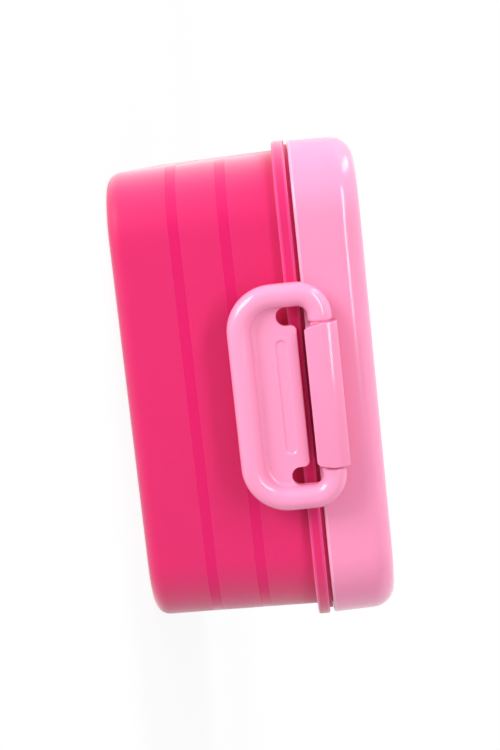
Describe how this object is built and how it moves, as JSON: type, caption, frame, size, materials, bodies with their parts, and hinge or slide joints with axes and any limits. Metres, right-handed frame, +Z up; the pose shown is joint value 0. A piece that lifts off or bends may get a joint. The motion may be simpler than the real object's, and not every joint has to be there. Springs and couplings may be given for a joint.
{
  "type": "bobbin box",
  "caption": "Moulded clip-lid box for sewing bobbins: drafted tub with an outer flange, lift-off sealed lid, snap latches on its ends, and a lift-out bobbin rack over an open compartment.",
  "frame": {"origin": "centre of the base, on the surface that the box stands on", "axes": "+Z up through the lid, Y along the box's length with the pictured latch end at -Y, X across its width"},
  "size_m": [0.108, 0.161, 0.0545],
  "materials": {
    "tub_pink": "satin moulded plastic, hot pink",
    "lid_pink": "glossy moulded plastic, light pink",
    "latch_pink": "glossy moulded plastic, light pink",
    "seal_silicone": "soft milky silicone",
    "rack_plastic": "satin moulded plastic, natural white",
    "bobbin_plastic": "clear moulded plastic"
  },
  "bodies": {
    "tub": {"tub": "tub_pink"},
    "lid": {"lid": "lid_pink", "lid_seal": "seal_silicone"},
    "latch_front": {"latch_front": "latch_pink"},
    "latch_rear": {"latch_rear": "latch_pink"},
    "rack": {"bobbin_rack": "rack_plastic", "bobbin_a1": "bobbin_plastic", "bobbin_a2": "bobbin_plastic", "bobbin_a3": "bobbin_plastic", "bobbin_a4": "bobbin_plastic", "bobbin_a5": "bobbin_plastic", "bobbin_a6": "bobbin_plastic", "bobbin_a7": "bobbin_plastic", "bobbin_a8": "bobbin_plastic", "bobbin_a9": "bobbin_plastic", "bobbin_b1": "bobbin_plastic", "bobbin_b2": "bobbin_plastic", "bobbin_b3": "bobbin_plastic", "bobbin_b4": "bobbin_plastic", "bobbin_b5": "bobbin_plastic", "bobbin_b6": "bobbin_plastic", "bobbin_b7": "bobbin_plastic", "bobbin_b8": "bobbin_plastic", "bobbin_b9": "bobbin_plastic", "bobbin_c1": "bobbin_plastic", "bobbin_c2": "bobbin_plastic", "bobbin_c3": "bobbin_plastic", "bobbin_c4": "bobbin_plastic", "bobbin_c5": "bobbin_plastic", "bobbin_c6": "bobbin_plastic", "bobbin_c7": "bobbin_plastic", "bobbin_c8": "bobbin_plastic", "bobbin_c9": "bobbin_plastic", "bobbin_d1": "bobbin_plastic", "bobbin_d2": "bobbin_plastic", "bobbin_d3": "bobbin_plastic", "bobbin_d4": "bobbin_plastic", "bobbin_d5": "bobbin_plastic", "bobbin_d6": "bobbin_plastic", "bobbin_d7": "bobbin_plastic", "bobbin_d8": "bobbin_plastic", "bobbin_d9": "bobbin_plastic"}
  },
  "joints": [
    {"name": "lid_lift", "type": "slide", "parent": "tub", "child": "lid", "axis": [0, 0, 1], "range_m": [0, 0.028]},
    {"name": "latch_front_swing", "type": "hinge", "parent": "lid", "child": "latch_front", "pos_m": [0, -0.077, 0.0435], "axis": [-1, 0, 0], "range_deg": [0, 150]},
    {"name": "latch_rear_swing", "type": "hinge", "parent": "lid", "child": "latch_rear", "pos_m": [0, 0.077, 0.0435], "axis": [1, 0, 0], "range_deg": [0, 150]},
    {"name": "rack_lift", "type": "slide", "parent": "tub", "child": "rack", "axis": [0, 0, 1], "range_m": [0, 0.02]}
  ],
  "couplings": [
    {"joint": "latch_front_swing", "follows": "lid_lift", "rad_per_m": 93.499},
    {"joint": "latch_rear_swing", "follows": "lid_lift", "rad_per_m": 93.499},
    {"joint": "rack_lift", "follows": "lid_lift", "ratio": 0.714}
  ]
}
